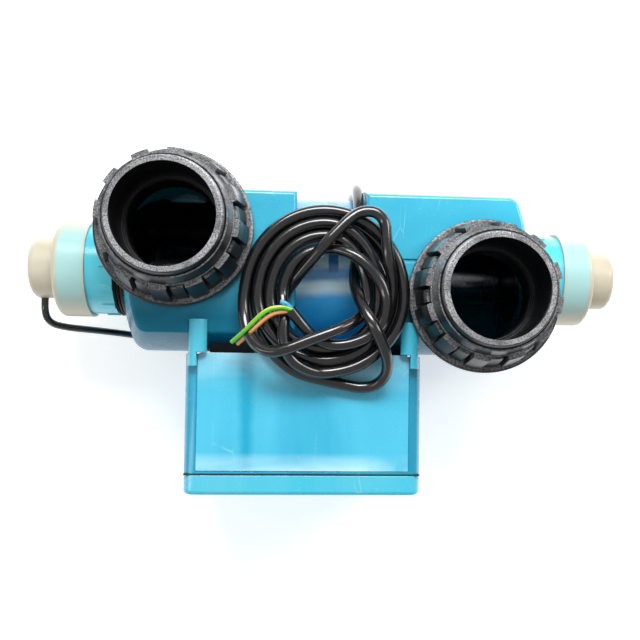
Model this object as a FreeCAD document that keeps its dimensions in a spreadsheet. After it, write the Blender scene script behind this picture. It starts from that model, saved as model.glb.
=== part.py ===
import FreeCAD, Part
import math
import os
import Sketcher
from FreeCAD import Rotation, Vector

# In-line UV-C water steriliser, lying on its back with both pipe unions up.
# X runs along the lamp, Y from the ballast box towards the far side, Z up.
# The origin is on the floor, under the middle of the body's box.

doc = FreeCAD.newDocument("water_steriliser")
sheet = doc.addObject("Spreadsheet::Sheet", "Sizes")

SIZES = {
    # where the lamp axis runs
    "axis_y": 41.0, "axis_z": 67.0,
    # port housings, measured from the lamp axis
    "house_in": 23.1, "house_out": 145.5, "house_half": 57.5, "house_deep": 58.0,
    "side_bulge": 165.4, "end_bulge": 140.0, "house_bore": 50.0, "bore_end": 134.0,
    "corner_round": 9.0, "edge_round": 2.6, "foot_high": 10.0, "foot_radius": 9.0,
    "foot_x": 115.0, "foot_y": 29.0, "insert_radius": 2.5, "insert_deep": 12.0,
    "parting_y": 3.0, "parting_wide": 2.4, "parting_deep": 1.0,
    # lamp chamber between the housings
    "pipe_radius": 53.5, "pipe_wall": 3.2, "pipe_grip": 22.0, "label_thick": 0.6, "fit_gap": 0.3,
    "pipe_seal_x": 36.0, "pipe_seal_cord": 1.35,
    # pipe unions
    "port_x": 101.8, "port_y": 20.0, "rim_high": 108.5, "socket_bore": 31.5, "socket_deep": 37.0,
    "socket_radius": 35.1, "socket_flare": 36.6, "flare_deep": 5.0, "water_bore": 29.5,
    "flange_radius": 51.0, "flange_low": 62.3, "flange_top": 66.5,
    "neck_radius": 38.6, "neck_bore": 35.4, "neck_top": 91.5, "spigot_radius": 33.0,
    "port_boss": 39.0, "washer_radius": 36.0, "washer_thick": 2.4, "pedestal_radius": 46.0,
    "nut_radius": 41.0, "nut_bore": 38.9, "nut_low": 66.8, "nut_shoulder": 90.0, "nut_top": 103.5,
    "nut_brim": 1.0, "lug_count": 12, "lug_radius": 44.1, "lug_base": 48.5, "lug_top": 93.0,
    "lug_wide": 11.0, "block_radius": 42.6, "block_base": 46.8, "block_top": 87.0,
    "block_wide": 8.0, "ring_cord": 1.2, "ring_high": 76.5,
    # threaded ends, collars and boots
    "end_bore": 33.0, "ridge_radius": 33.0, "ridge_valley": 31.2, "screw_radius": 28.7,
    "collar_start": 148.2, "collar_end": 184.5, "collar_radius": 31.9, "collar_bore": 29.0,
    "bar_count": 12, "bar_wide": 4.2, "bar_long": 8.4, "bar_high": 0.9,
    "boot_start": 166.4, "boot_step": 188.8, "boot_end": 208.4, "boot_wall": 1.8,
    "sleeve_radius": 34.0, "cap_radius": 21.6,
    # lamp
    "quartz_radius": 20.0, "quartz_wall": 1.6, "quartz_half": 172.0,
    "lamp_radius": 13.0, "lamp_half": 158.0, "lamp_cap_long": 11.5, "pin_radius": 1.2,
    "pin_long": 10.0, "pin_apart": 6.5, "holder_radius": 18.5, "holder_end": 203.0,
    # ballast box, measured from the lamp axis in Y
    "box_left": -94.5, "box_right": 61.5, "box_top": -61.0, "box_seam": -139.0, "box_low": -153.0,
    "box_face": 122.0, "box_wall": 3.0, "box_round": 8.0, "panel_thick": 1.2, "panel_inset": 8.5,
    "post_radius": 6.85, "post_top": -38.5, "post_foot": -69.0, "post_inset": 8.8, "post_sunk": 3.2,
    # cables
    "cable_radius": 3.75, "lead_radius": 2.6, "core_radius": 1.4, "gland_x": 8.0, "gland_z": 11.0,
    "coil_x": -4.0, "coil_y": -23.5, "coil_half_x": 50.0, "coil_half_y": 58.0,
    "coil_hole_x": 20.5, "coil_hole_y": 27.0, "coil_low": 125.4, "coil_high": 147.0,
}


def fill_sheet():
    for row, (alias, value) in enumerate(SIZES.items(), start=1):
        sheet.set(f"A{row}", alias)
        sheet.set(f"B{row}", str(value))
        sheet.setAlias(f"B{row}", alias)
    doc.recompute()


fill_sheet()


def text_of(item):
    return item.text if isinstance(item, Size) else repr(float(item))


def value_of(item):
    return item.value if isinstance(item, Size) else float(item)


class Size:
    """A length that keeps its spreadsheet expression beside its present value."""

    def __init__(self, text, value):
        self.text = text
        self.value = value

    def __add__(self, other):
        return Size(f"({self.text} + {text_of(other)})", self.value + value_of(other))

    def __sub__(self, other):
        return Size(f"({self.text} - {text_of(other)})", self.value - value_of(other))

    def __rsub__(self, other):
        return Size(f"({text_of(other)} - {self.text})", value_of(other) - self.value)

    def __mul__(self, other):
        return Size(f"({self.text} * {text_of(other)})", self.value * value_of(other))

    def __neg__(self):
        return Size(f"(-{self.text})", -self.value)

    __radd__ = __add__
    __rmul__ = __mul__


class Sheet:
    """Gives each cell of the spreadsheet as a Size, by its alias."""

    def __getattr__(self, alias):
        return Size(f"Sizes.{alias}", float(sheet.get(alias)))


S = Sheet()
TURNS = {
    "z": Rotation(),
    "x": Rotation(Vector(0, 1, 0), 90),
    "-x": Rotation(Vector(0, 1, 0), -90),
    "y": Rotation(Vector(1, 0, 0), -90),
    "-y": Rotation(Vector(1, 0, 0), 90),
}
NODES = []
counter = {"made": 0}


def new_name(kind):
    counter["made"] += 1
    return f"{kind}_{counter['made']}"


def bind(thing, prop, size):
    if isinstance(size, Size):
        thing.setExpression(prop, size.text)
    else:
        setattr(thing, prop, size)


def place(thing, base, turn="z"):
    """Puts a thing at base, with its own Z axis turned to the named axis."""
    start = Vector(*[value_of(part) for part in base])
    thing.Placement = FreeCAD.Placement(start, TURNS[turn])
    for letter, part in zip("xyz", base):
        if isinstance(part, Size):
            thing.setExpression(f".Placement.Base.{letter}", part.text)
    return thing


def node(thing, label):
    thing.Label = label
    NODES.append(thing)
    return thing


def cylinder(radius, height, base, turn="z"):
    thing = doc.addObject("Part::Cylinder", new_name("cylinder"))
    bind(thing, "Radius", radius)
    bind(thing, "Height", height)
    return place(thing, base, turn)


def block(length, width, height, base):
    thing = doc.addObject("Part::Box", new_name("block"))
    bind(thing, "Length", length)
    bind(thing, "Width", width)
    bind(thing, "Height", height)
    return place(thing, base)


def ball(radius, base):
    thing = doc.addObject("Part::Sphere", new_name("ball"))
    bind(thing, "Radius", radius)
    return place(thing, base)


def torus(major, minor, base, turn="z"):
    thing = doc.addObject("Part::Torus", new_name("torus"))
    bind(thing, "Radius1", major)
    bind(thing, "Radius2", minor)
    return place(thing, base, turn)


def fuse(things):
    joined = doc.addObject("Part::MultiFuse", new_name("fuse"))
    joined.Shapes = things
    return joined


def common(things):
    shared = doc.addObject("Part::MultiCommon", new_name("common"))
    shared.Shapes = things
    return shared


def cut(base, tools):
    result = doc.addObject("Part::Cut", new_name("cut"))
    result.Base = base
    result.Tool = tools[0] if len(tools) == 1 else fuse(tools)
    return result


def group(things):
    """Keeps several separate solids in one node."""
    bundle = doc.addObject("Part::Compound", new_name("group"))
    bundle.Links = things
    return bundle


def rounded(base, radius, wanted):
    """Rounds the edges of base that the test wanted(edge) picks."""
    doc.recompute()
    soft = doc.addObject("Part::Fillet", new_name("rounded"))
    soft.Base = base
    edges = base.Shape.Edges
    picked = [index for index, edge in enumerate(edges, start=1) if wanted(edge)]
    soft.Edges = [(index, value_of(radius), value_of(radius)) for index in picked]
    doc.recompute()
    return soft


def plane_of(body, role):
    return next(part for part in body.Origin.OriginFeatures if part.Role == role)


def outline(body, role, points, offset=0.0):
    """A closed sketch of straight lines whose corners are all bound to the sheet."""
    sketch = body.newObject("Sketcher::SketchObject", new_name("sketch"))
    sketch.AttachmentSupport = [(plane_of(body, role), "")]
    sketch.MapMode = "FlatFace"
    if isinstance(offset, Size):
        sketch.setExpression(".AttachmentOffset.Base.z", offset.text)
    corners = [Vector(value_of(across), value_of(up), 0) for across, up in points]
    count = len(corners)
    for index in range(count):
        sketch.addGeometry(Part.LineSegment(corners[index], corners[(index + 1) % count]))
    for index in range(count):
        following = (index + 1) % count
        sketch.addConstraint(Sketcher.Constraint("Coincident", index, 2, following, 1))
    for index, (across, up) in enumerate(points):
        for kind, size in (("DistanceX", across), ("DistanceY", up)):
            number = sketch.addConstraint(
                Sketcher.Constraint(kind, -1, 1, index, 1, value_of(size)))
            if isinstance(size, Size):
                sketch.setExpression(f"Constraints[{number}]", size.text)
    return sketch


def lathe(points, base, turn="z"):
    """A body turned about its own Z axis from (radius, height) corners."""
    body = doc.addObject("PartDesign::Body", new_name("lathe"))
    sketch = outline(body, "XZ_Plane", points)
    turned = body.newObject("PartDesign::Revolution", new_name("turned"))
    turned.Profile = sketch
    turned.ReferenceAxis = (sketch, ["V_Axis"])
    turned.Angle = 360.0
    body.Tip = turned
    place(body, base, turn)
    doc.recompute()
    return body


def add_pad(body, points, offset, height, count=1):
    """Pads an outline on the body, then repeats it round the body's Z axis."""
    sketch = outline(body, "XY_Plane", points, offset)
    pad = body.newObject("PartDesign::Pad", new_name("pad"))
    pad.Profile = sketch
    bind(pad, "Length", height)
    body.Tip = pad
    doc.recompute()
    if value_of(count) > 1:
        pattern = body.newObject("PartDesign::PolarPattern", new_name("pattern"))
        pattern.Originals = [pad]
        pattern.Axis = (sketch, ["N_Axis"])
        pattern.Angle = 360.0
        bind(pattern, "Occurrences", count)
        body.Tip = pattern
        doc.recompute()


def soften(body, radius, wanted):
    """Rounds the picked edges of a body as its last feature."""
    base = body.Tip
    edges = base.Shape.Edges
    names = [f"Edge{index}" for index, edge in enumerate(edges, start=1) if wanted(edge)]
    soft = body.newObject("PartDesign::Fillet", new_name("soft"))
    soft.Base = (base, names)
    bind(soft, "Radius", radius)
    body.Tip = soft
    doc.recompute()


def tube_between(radius, inner, low, high, base, turn="z"):
    return lathe([(inner, low), (radius, low), (radius, high), (inner, high)], base, turn)


def circle_at(radius, height):
    """Tests for a circular edge of that radius at that height of a turned body."""
    def test(edge):
        curve = edge.Curve
        return (isinstance(curve, Part.Circle)
                and abs(curve.Radius - value_of(radius)) < 0.01
                and abs(curve.Center.z - value_of(height)) < 0.01)
    return test


# ---------------------------------------------------------------- lamp line

LINE = (0.0, S.axis_y, S.axis_z)
SIDES = {"left": -1, "right": 1}
TOWARDS = {-1: "-x", 1: "x"}


def along(side, radius, start, end):
    """A cylinder on the lamp line from start to end, counted outwards on one side."""
    first = start if side > 0 else -end
    return cylinder(radius, end - start, (first, S.axis_y, S.axis_z), "x")


SLAB_SPARE = 5.0


def house_shell(side):
    """The pillow shape: a block whose two flanks and outer end all bulge."""
    first = S.house_in if side > 0 else -S.house_out
    long = S.house_out - S.house_in
    deep = S.house_deep * 2
    half = S.house_half + SLAB_SPARE
    slab = block(long, half * 2, deep, (first, S.axis_y - half, S.axis_z - S.house_deep))
    flanks = []
    for sign in (-1, 1):
        middle = S.axis_y + sign * (S.house_half - S.side_bulge)
        flanks.append(cylinder(S.side_bulge, long, (first, middle, S.axis_z), "x"))
    dome = ball(S.end_bulge, (side * (S.house_out - S.end_bulge), S.axis_y, S.axis_z))
    pillow = common([slab, *flanks, dome])
    top = SIZES["axis_z"] + SIZES["house_deep"]
    low = SIZES["axis_z"] - SIZES["house_deep"]

    def upright(edge):
        box = edge.BoundBox
        return box.ZLength > 100 and abs(edge.CenterOfMass.x) > 80

    def rim(edge):
        box = edge.BoundBox
        flat = box.ZLength < 0.01
        return flat and min(abs(box.ZMax - top), abs(box.ZMin - low)) < 0.01

    return rounded(rounded(pillow, S.corner_round, upright), S.edge_round, rim)


def port_place(side):
    return (side * S.port_x, S.axis_y - side * S.port_y, S.axis_z)


def make_housing(side, label):
    px, py, pz = port_place(side)
    feet = []
    inserts = []
    for sign in (-1, 1):
        spot = (side * S.foot_x, S.axis_y + sign * S.foot_y)
        feet.append(cylinder(S.foot_radius, S.foot_high, (*spot, 0.0)))
        inserts.append(cylinder(S.insert_radius, S.insert_deep, (*spot, -1.0)))
    groove_y = S.axis_y + side * S.parting_y - S.parting_wide * 0.5
    first = S.house_in if side > 0 else -S.house_out
    groove = block(S.house_out - S.house_in, S.parting_wide, S.parting_deep + 1.0,
                   (first, groove_y, S.axis_z + S.house_deep - S.parting_deep))
    screws = [screw_hole(x, z) for x, z in SADDLE_SPOTS if x * side > 0]
    boss = cylinder(S.port_boss, S.house_deep, (px, py, pz))
    holes = [
        along(side, S.house_bore, S.house_in, S.bore_end),
        along(side, S.pipe_radius + S.fit_gap, S.house_in - 1.0, S.house_in + S.pipe_grip),
        along(side, S.pipe_radius + 2.0 * S.pipe_seal_cord, S.pipe_seal_x - 2.0,
              S.pipe_seal_x + 2.0),
        along(side, S.end_bore, S.bore_end - 1.0, S.house_out + 1.0),
        cylinder(S.spigot_radius, S.house_deep + 1.0, (px, py, pz)),
        cylinder(S.washer_radius + 0.2, S.washer_thick + 1.0,
                 (px, py, pz + S.house_deep - S.washer_thick)),
        groove,
    ]
    return node(cut(fuse([house_shell(side), boss, *feet]), holes + inserts + screws), label)


SADDLE_SPOTS = [(-70.0, 50.0), (-70.0, 84.0), (48.0, 50.0), (48.0, 84.0)]
SADDLE_SCREW_RADIUS = 1.9
SADDLE_SCREW_LONG = 10.0


def screw_hole(x, z):
    """A hole along Y for a screw that ties the box to a housing."""
    start = S.axis_y + S.box_top - 1.0
    return cylinder(SADDLE_SCREW_RADIUS + 0.1, SADDLE_SCREW_LONG + 0.5, (x, start, z), "y")


def make_chamber():
    half = S.house_in + S.pipe_grip - 0.5
    node(tube_between(S.pipe_radius, S.pipe_radius - S.pipe_wall, -half, half, LINE, "x"),
         "chamber_tube")
    node(tube_between(S.pipe_radius + S.label_thick, S.pipe_radius, -S.house_in + 0.15,
                      S.house_in - 0.15, LINE, "x"), "label_wrap")
    seals = []
    for side in (-1, 1):
        seals.append(torus(S.pipe_radius + S.pipe_seal_cord, S.pipe_seal_cord,
                           (side * S.pipe_seal_x, S.axis_y, S.axis_z), "x"))
    node(group(seals), "chamber_seals")


# ---------------------------------------------------------------- pipe unions

SOCKET_STOP_THICK = 3.0
SOCKET_LIP_THICK = 3.4
SPIGOT_LONG = 8.0
LUG_TURNS = {-1: -6.5, 1: -10.8}
BLOCK_TURN = 15.0


def make_port_base(side, label):
    """Black flange with the threaded neck that the union nut turns on."""
    floor = S.rim_high - S.socket_deep - SOCKET_STOP_THICK - 0.4
    points = [
        (S.water_bore, S.house_deep - SPIGOT_LONG), (S.spigot_radius, S.house_deep - SPIGOT_LONG),
        (S.spigot_radius, S.house_deep), (S.pedestal_radius, S.house_deep),
        (S.pedestal_radius, S.flange_low), (S.flange_radius, S.flange_low),
        (S.flange_radius, S.flange_top), (S.neck_radius, S.flange_top),
        (S.neck_radius, S.neck_top), (S.neck_bore, S.neck_top),
        (S.neck_bore, floor), (S.water_bore, floor),
    ]
    body = lathe(points, port_place(side))
    soften(body, 1.6, circle_at(S.flange_radius, S.flange_top))
    return node(body, label)


def make_union_socket(side, label):
    """Tailpiece that the pipe is glued into: a flanged tube with a stop inside."""
    stop = S.rim_high - S.socket_deep
    foot = stop - SOCKET_STOP_THICK
    lip = S.neck_top + S.fit_gap
    lip_top = lip + SOCKET_LIP_THICK
    groove = S.neck_bore - 2.0 * S.ring_cord
    points = [
        (S.water_bore, foot), (S.socket_radius, foot),
        (S.socket_radius, S.ring_high - 1.5), (groove, S.ring_high - 1.5),
        (groove, S.ring_high + 1.5), (S.socket_radius, S.ring_high + 1.5),
        (S.socket_radius, lip), (S.neck_radius - 0.2, lip),
        (S.neck_radius - 0.2, lip_top), (S.socket_flare, lip_top),
        (S.socket_flare, S.rim_high - S.flare_deep), (S.socket_radius, S.rim_high),
        (S.socket_bore, S.rim_high), (S.socket_bore, stop), (S.water_bore, stop),
    ]
    body = lathe(points, port_place(side))
    soften(body, 0.9, circle_at(S.socket_radius, S.rim_high))
    return node(body, label)


def wedge(wide, inner, outer):
    """Corners of one grip lug, lying across the X axis of the nut."""
    half = wide * 0.5
    return [(inner, -half), (outer, -half), (outer, half), (inner, half)]


def grips(side, wide, top, radius, base, turned):
    """A ring with bars round it, all coned from base at the foot to radius at the top."""
    ring = tube_between(S.nut_radius, S.nut_bore, S.nut_low, top, port_place(side))
    add_pad(ring, wedge(wide, S.nut_radius - 1.2, base), S.nut_low, top - S.nut_low, S.lug_count)
    ring.Placement.Rotation = Rotation(Vector(0, 0, 1), turned)
    cone = lathe([(0.0, S.nut_low), (base, S.nut_low), (radius, top), (0.0, top)],
                 port_place(side))
    return common([ring, cone])


def make_union_nut(side, label):
    """Nut with a coned shoulder, tall lugs and lower blocks between them."""
    hole = S.socket_flare + 0.4
    lip = S.neck_top + S.fit_gap + SOCKET_LIP_THICK + 0.4
    points = [
        (S.nut_bore, S.nut_low), (S.nut_radius, S.nut_low),
        (S.nut_radius, S.nut_shoulder), (hole + S.nut_brim, S.nut_top),
        (hole, S.nut_top), (hole, lip), (S.nut_bore, lip),
    ]
    body = lathe(points, port_place(side))
    turned = LUG_TURNS[side]
    lugs = grips(side, S.lug_wide, S.lug_top, S.lug_radius, S.lug_base, turned)
    blocks = grips(side, S.block_wide, S.block_top, S.block_radius, S.block_base,
                   turned + BLOCK_TURN)
    return node(fuse([body, lugs, blocks]), label)


def make_union(side, name):
    make_port_base(side, f"{name}_port_base")
    make_union_socket(side, f"{name}_union_socket")
    make_union_nut(side, f"{name}_union_nut")
    px, py, pz = port_place(side)
    node(torus(S.neck_bore - S.ring_cord, S.ring_cord, (px, py, pz + S.ring_high)),
         f"{name}_union_o_ring")
    node(tube_between(S.washer_radius, S.spigot_radius + 0.1, 0.1, S.washer_thick,
                      (px, py, pz + S.house_deep - S.washer_thick)),
         f"{name}_port_seal_washer")


# ---------------------------------------------------------------- lamp ends

def make_end_spigot(side, label):
    """Threaded sleeve in the housing's end, with two ridges left in sight."""
    mouth = S.quartz_half
    points = [
        (S.quartz_radius + 0.3, S.bore_end), (S.end_bore, S.bore_end),
        (S.end_bore, S.collar_start - 5.2), (S.ridge_valley, S.collar_start - 4.6),
        (S.ridge_radius, S.collar_start - 4.0),
        (S.ridge_valley, S.collar_start - 3.2), (S.ridge_valley, S.collar_start - 2.4),
        (S.ridge_radius, S.collar_start - 1.8), (S.ridge_valley, S.collar_start - 1.0),
        (S.screw_radius, S.collar_start - 0.6), (S.screw_radius, mouth),
        (S.quartz_radius + 4.3, mouth), (S.quartz_radius + 4.3, mouth - 4.2),
        (S.quartz_radius + 0.3, mouth - 4.2),
    ]
    return node(lathe(points, LINE, TOWARDS[side]), label)


COLLAR_LEDGE_THICK = 3.0
COLLAR_MOUTH = 26.0


def make_collar(side, label):
    """Screw collar that squeezes the quartz seal and carries the lampholder."""
    shoulder = S.quartz_half + 1.0
    ledge = shoulder + COLLAR_LEDGE_THICK
    points = [
        (S.collar_bore, S.collar_start), (S.collar_radius, S.collar_start),
        (S.collar_radius, S.collar_end), (COLLAR_MOUTH, S.collar_end), (COLLAR_MOUTH, ledge),
        (S.quartz_radius + 0.6, ledge), (S.quartz_radius + 0.6, shoulder),
        (S.collar_bore, shoulder),
    ]
    body = lathe(points, LINE, TOWARDS[side])
    bar = wedge(S.bar_wide, S.collar_radius - 1.0, S.collar_radius + S.bar_high)
    add_pad(body, bar, S.collar_start, S.bar_long, S.bar_count)
    return node(body, label)


def boot_body(side):
    inner = S.sleeve_radius - S.boot_wall
    cap_inner = S.cap_radius - S.boot_wall
    points = [
        (inner, S.boot_start), (S.sleeve_radius, S.boot_start),
        (S.sleeve_radius, S.boot_step), (S.cap_radius, S.boot_step),
        (S.cap_radius, S.boot_end), (0.0, S.boot_end),
        (0.0, S.boot_end - S.boot_wall), (cap_inner, S.boot_end - S.boot_wall),
        (cap_inner, S.boot_step - S.boot_wall), (inner, S.boot_step - S.boot_wall),
    ]
    body = lathe(points, LINE, TOWARDS[side])
    soften(body, 4.0, circle_at(S.sleeve_radius, S.boot_step))
    soften(body, 5.0, circle_at(S.cap_radius, S.boot_end))
    return body


LEAD_X = -201.0


def make_boots():
    node(boot_body(1), "right_boot")
    notch = cylinder(S.lead_radius + 0.4, 12.0,
                     (LEAD_X, S.axis_y - S.cap_radius - 2.0, S.axis_z), "y")
    node(cut(boot_body(-1), [notch]), "left_boot")


HOLDER_NOSE = (16.5, 175.2)
HOLDER_FLANGE = (25.4, 177.6, 184.0)
PIN_WELL = (174.0, 182.0)


def make_lampholder(side, label):
    nose_radius, nose_start = HOLDER_NOSE
    flange_radius, flange_start, flange_end = HOLDER_FLANGE
    points = [
        (0.0, nose_start), (nose_radius, nose_start), (nose_radius, flange_start),
        (flange_radius, flange_start), (flange_radius, flange_end),
        (S.holder_radius, flange_end), (S.holder_radius, S.holder_end), (0.0, S.holder_end),
    ]
    body = lathe(points, LINE, TOWARDS[side])
    first = PIN_WELL[0] if side > 0 else -PIN_WELL[1]
    sockets = [cylinder(S.pin_radius + 0.25, PIN_WELL[1] - PIN_WELL[0],
                        (first, S.axis_y + sign * S.pin_apart, S.axis_z), "x")
               for sign in (-1, 1)]
    return node(cut(body, sockets), label)


SPACER_X = 120.0
SPACER_MAJOR = 15.7
SPACER_CORD = 2.4
QUARTZ_SEAL_CORD = 2.0
LAMP_WALL = 0.9


def make_lamp():
    node(tube_between(S.quartz_radius, S.quartz_radius - S.quartz_wall, -S.quartz_half,
                      S.quartz_half, LINE, "x"), "quartz_sleeve")
    node(tube_between(S.lamp_radius, S.lamp_radius - LAMP_WALL, -S.lamp_half, S.lamp_half,
                      LINE, "x"), "lamp_glass")
    caps = []
    pins = []
    seals = []
    for side in (-1, 1):
        end = S.lamp_half + S.lamp_cap_long
        caps.append(along(side, S.lamp_radius + 0.4, S.lamp_half, end))
        seals.append(torus(S.quartz_radius + QUARTZ_SEAL_CORD + 0.15, QUARTZ_SEAL_CORD,
                           (side * (S.quartz_half - 2.1), S.axis_y, S.axis_z), "x"))
        for sign in (-1, 1):
            first = end if side > 0 else -(end + S.pin_long)
            pins.append(cylinder(S.pin_radius, S.pin_long,
                                 (first, S.axis_y + sign * S.pin_apart, S.axis_z), "x"))
    node(group(caps), "lamp_end_caps")
    node(group(pins), "lamp_pins")
    node(group(seals), "quartz_seals")
    spacers = [torus(SPACER_MAJOR, SPACER_CORD, (side * SPACER_X, S.axis_y, S.axis_z), "x")
               for side in (-1, 1)]
    node(group(spacers), "lamp_spacer_rings")


# ---------------------------------------------------------------- ballast box

def box_outline(inset, low, high):
    """A block of the box's plan between two heights of Y, drawn in by inset."""
    return block(S.box_right - S.box_left - 2.0 * inset, high - low,
                 S.box_face - 2.0 * inset, (S.box_left + inset, S.axis_y + low, inset))


def long_edge(edge):
    """The four corner edges of the box that run along Y."""
    box = edge.BoundBox
    return box.YLength > 9 and box.XLength < 0.01 and box.ZLength < 0.01


def low_rim(edge):
    """The edges round the closed low end of the box lid."""
    return abs(edge.BoundBox.YMax - (SIZES["axis_y"] + SIZES["box_low"])) < 0.01


BOSS_INSET = 11.0
BOSS_RADIUS = 5.0
BOSS_LONG = 24.0
BORE_RADIUS = 1.95
BORE_LONG = 14.0
GLAND_HOLE = 6.2
GROMMET_HOLE = 5.2
PANEL_GAP = 0.15
WEB_THICK = 2.0
PANEL_CORNER = 3.0
LID_ROUND = 3.0
LID_HEAD_RADIUS = 3.9
LID_HEAD_LONG = 2.6
LID_SHANK_RADIUS = 1.9
LID_SHANK_LONG = 22.0


def boss_spots():
    """Where the four lid screws stand, as (x, z)."""
    return [(x, z) for x in (S.box_left + BOSS_INSET, S.box_right - BOSS_INSET)
            for z in (BOSS_INSET, S.box_face - BOSS_INSET)]


def make_box_shell():
    outer = rounded(box_outline(0.0, S.box_seam, S.box_top), S.box_round, long_edge)
    inner = rounded(box_outline(S.box_wall, S.box_seam - 1.0, S.box_top - S.box_wall),
                    S.box_round - S.box_wall, long_edge)
    hollow = cut(outer, [inner])
    top = S.axis_y + S.box_top
    seam = S.axis_y + S.box_seam
    openings = [
        panel_block(PANEL_GAP, 1.0),
        cylinder(GLAND_HOLE, 8.0, (S.gland_x, top - 5.0, S.gland_z), "y"),
        cylinder(GROMMET_HOLE, 8.0, (LEAD_GLAND_X, top - 5.0, LEAD_GLAND_Z), "y"),
    ]
    for x, z in SADDLE_SPOTS:
        hole = screw_hole(x, z)
        hole.setExpression(".Placement.Base.y", (top - S.box_wall - 3.0).text)
        openings.append(hole)
    bosses = []
    for x, z in boss_spots():
        bosses.append(cylinder(BOSS_RADIUS, BOSS_LONG, (x, seam, z), "y"))
        openings.append(cylinder(BORE_RADIUS, BORE_LONG, (x, seam - 1.0, z), "y"))
    return node(cut(fuse([hollow, *corner_webs(), *bosses]), openings), "box_shell")


def corner_webs():
    """Webs that tie the four lid bosses to the walls of the box."""
    webs = []
    for left in (S.box_left + 1.0, S.box_right - BOSS_INSET):
        for z in (BOSS_INSET, S.box_face - BOSS_INSET):
            webs.append(block(BOSS_INSET - 1.0, BOSS_LONG, WEB_THICK,
                              (left, S.axis_y + S.box_seam, z - WEB_THICK / 2)))
    return webs


def panel_block(grow, above):
    """The front panel's outline, grown by a clearance and raised above the face."""
    return block(S.box_right - S.box_left - 2.0 * S.panel_inset + 2.0 * grow,
                 S.box_top - S.box_seam - 1.0 + grow, S.panel_thick + above,
                 (S.box_left + S.panel_inset - grow, S.axis_y + S.box_seam + 2.0 - grow,
                  S.box_face - S.panel_thick))


def make_front_panel():
    plate = panel_block(0.0, 0.5)
    top = SIZES["axis_y"] + SIZES["box_top"] + 1.0

    def far_corner(edge):
        box = edge.BoundBox
        upright = box.ZLength > 1.0 and box.YLength < 0.01 and box.XLength < 0.01
        return upright and abs(box.YMax - top) < 0.01

    return node(rounded(plate, PANEL_CORNER, far_corner), "front_panel")


def lid_screw(x, low, z):
    head = cylinder(LID_HEAD_RADIUS, LID_HEAD_LONG, (x, low + 0.3, z), "y")
    shank = cylinder(LID_SHANK_RADIUS, LID_SHANK_LONG, (x, low + LID_HEAD_LONG + 0.2, z), "y")
    return fuse([head, shank])


def make_base_lid():
    outer = rounded(box_outline(0.0, S.box_low, S.box_seam - 1.0), S.box_round, long_edge)
    soft = rounded(outer, LID_ROUND, low_rim)
    inner = box_outline(S.box_wall, S.box_low + S.box_wall, S.box_seam)
    low = S.axis_y + S.box_low
    posts = []
    holes = []
    screws = []
    for x, z in boss_spots():
        posts.append(cylinder(BOSS_RADIUS, S.box_seam - S.box_low - 1.0, (x, low, z), "y"))
        holes.append(cylinder(LID_SHANK_RADIUS + 0.3, 16.0, (x, low - 1.0, z), "y"))
        holes.append(cylinder(LID_HEAD_RADIUS + 0.3, 4.0, (x, low - 1.0, z), "y"))
        screws.append(lid_screw(x, low, z))
    node(cut(fuse([cut(soft, [inner]), *posts]), holes), "base_lid")
    node(group(screws), "lid_screws")
    ring = box_outline(0.6, S.box_seam - 1.0, S.box_seam)
    window = box_outline(S.box_wall, S.box_seam - 2.0, S.box_seam + 1.0)
    node(cut(ring, [window]), "lid_gasket")


def make_post(x, label):
    """Half-round arm that grips the near edge of a housing."""
    low = S.axis_z + S.house_deep + S.fit_gap
    long = S.post_top - S.post_foot
    round_bar = cylinder(S.post_radius, long,
                         (x, S.axis_y + S.post_foot, low - S.post_sunk), "y")
    over = block(S.post_radius * 2.0, long, S.post_radius + 1.0,
                 (x - S.post_radius, S.axis_y + S.post_foot, low))
    below = block(S.post_radius * 2.0, S.box_top - S.post_foot, S.post_radius + 1.0,
                  (x - S.post_radius, S.axis_y + S.post_foot, S.box_face))
    arm = common([round_bar, fuse([over, below])])
    return node(cut(arm, [panel_block(PANEL_GAP, 20.0)]), label)


PAD_SPANS = ((-80.0, 55.0), (26.0, 28.0))
PAD_LOW = 28.0
PAD_HIGH = 78.0
SADDLE_HEAD_RADIUS = 3.6
SADDLE_HEAD_LONG = 2.4


def make_saddle():
    """Rubber pads between the box and the flanks, and the screws through them."""
    pads = []
    for left, wide in PAD_SPANS:
        side = -1 if left < 0 else 1
        slab = block(wide, 12.0, PAD_HIGH, (left, S.axis_y + S.box_top, PAD_LOW))
        flank = cylinder(S.side_bulge, 300.0,
                         (-150.0, S.axis_y - (S.house_half - S.side_bulge), S.axis_z), "x")
        holes = [screw_hole(x, z) for x, z in SADDLE_SPOTS if x * side > 0]
        pads.append(cut(slab, [flank, *holes]))
    node(group(pads), "saddle_pads")
    screws = []
    for x, z in SADDLE_SPOTS:
        inside = S.axis_y + S.box_top - S.box_wall
        shank = cylinder(SADDLE_SCREW_RADIUS, SADDLE_SCREW_LONG + 2.0, (x, inside, z), "y")
        head = cylinder(SADDLE_HEAD_RADIUS, SADDLE_HEAD_LONG,
                        (x, inside - SADDLE_HEAD_LONG, z), "y")
        screws.append(fuse([shank, head]))
    node(group(screws), "saddle_screws")


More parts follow.
